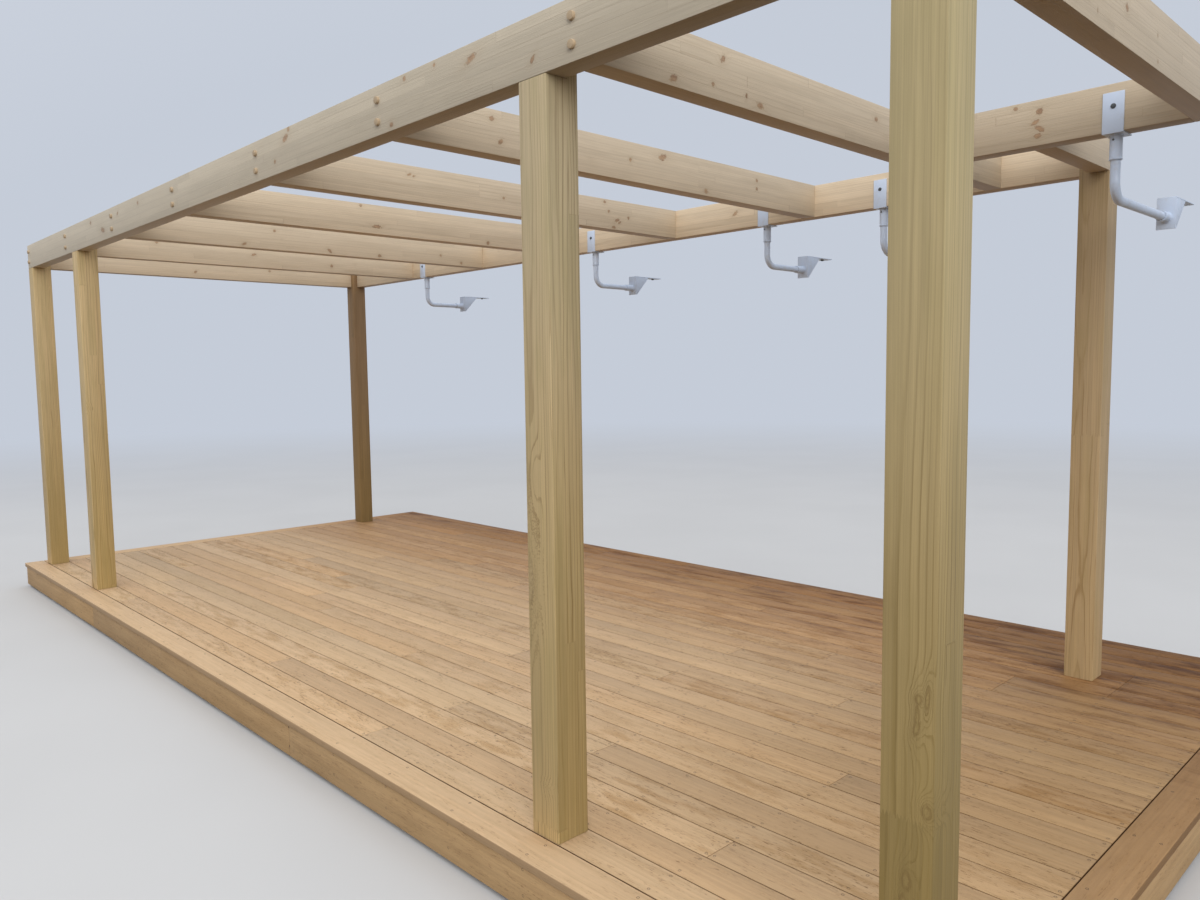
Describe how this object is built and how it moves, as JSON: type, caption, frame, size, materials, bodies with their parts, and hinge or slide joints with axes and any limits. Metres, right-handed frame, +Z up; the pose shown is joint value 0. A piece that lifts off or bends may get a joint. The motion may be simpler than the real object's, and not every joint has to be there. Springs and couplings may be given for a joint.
{
  "type": "wooden pergola on a timber deck",
  "caption": "Open flat timber pergola on a low deck: square posts, a front beam, stepped back ledgers, rafters, and steel pipe brackets that reach under an eave.",
  "frame": {"origin": "on the ground under the middle of the deck's bounding box", "axes": "+X along the front beam towards the near end, +Y from the front towards the back, +Z up"},
  "size_m": [8.295, 3.892, 2.907],
  "materials": {
    "post_timber": "planed pine, bare, slightly green",
    "roof_timber": "planed laminated pine, bare",
    "deck_timber": "planed pine boards, lightly oiled",
    "fascia_timber": "planed pine, bare",
    "frame_timber": "rough sawn pine",
    "white_steel": "white powder coat, satin"
  },
  "bodies": {
    "root": {"bracket_1_foot": "white_steel", "bracket_1_pipe": "white_steel", "bracket_1_plate": "white_steel", "bracket_2_foot": "white_steel", "bracket_2_pipe": "white_steel", "bracket_2_plate": "white_steel", "bracket_3_foot": "white_steel", "bracket_3_pipe": "white_steel", "bracket_3_plate": "white_steel", "bracket_4_foot": "white_steel", "bracket_4_pipe": "white_steel", "bracket_4_plate": "white_steel", "bracket_5_foot": "white_steel", "bracket_5_pipe": "white_steel", "bracket_5_plate": "white_steel", "deck_bearers": "frame_timber", "deck_boards": "deck_timber", "deck_border_far": "deck_timber", "deck_border_near": "deck_timber", "deck_edge_board": "deck_timber", "deck_joists": "frame_timber", "fascia_far": "fascia_timber", "fascia_front": "fascia_timber", "fascia_near": "fascia_timber", "front_beam": "roof_timber", "ledger_far": "roof_timber", "ledger_near": "roof_timber", "post_back_far": "post_timber", "post_back_near": "post_timber", "post_far_corner": "post_timber", "post_middle": "post_timber", "post_near_corner": "post_timber", "post_second": "post_timber", "rafter_1": "roof_timber", "rafter_2": "roof_timber", "rafter_3": "roof_timber", "rafter_4": "roof_timber", "rafter_5": "roof_timber", "rafter_6": "roof_timber", "rafter_7": "roof_timber", "rafter_8": "roof_timber", "return_beam": "roof_timber"}
  },
  "joints": []
}
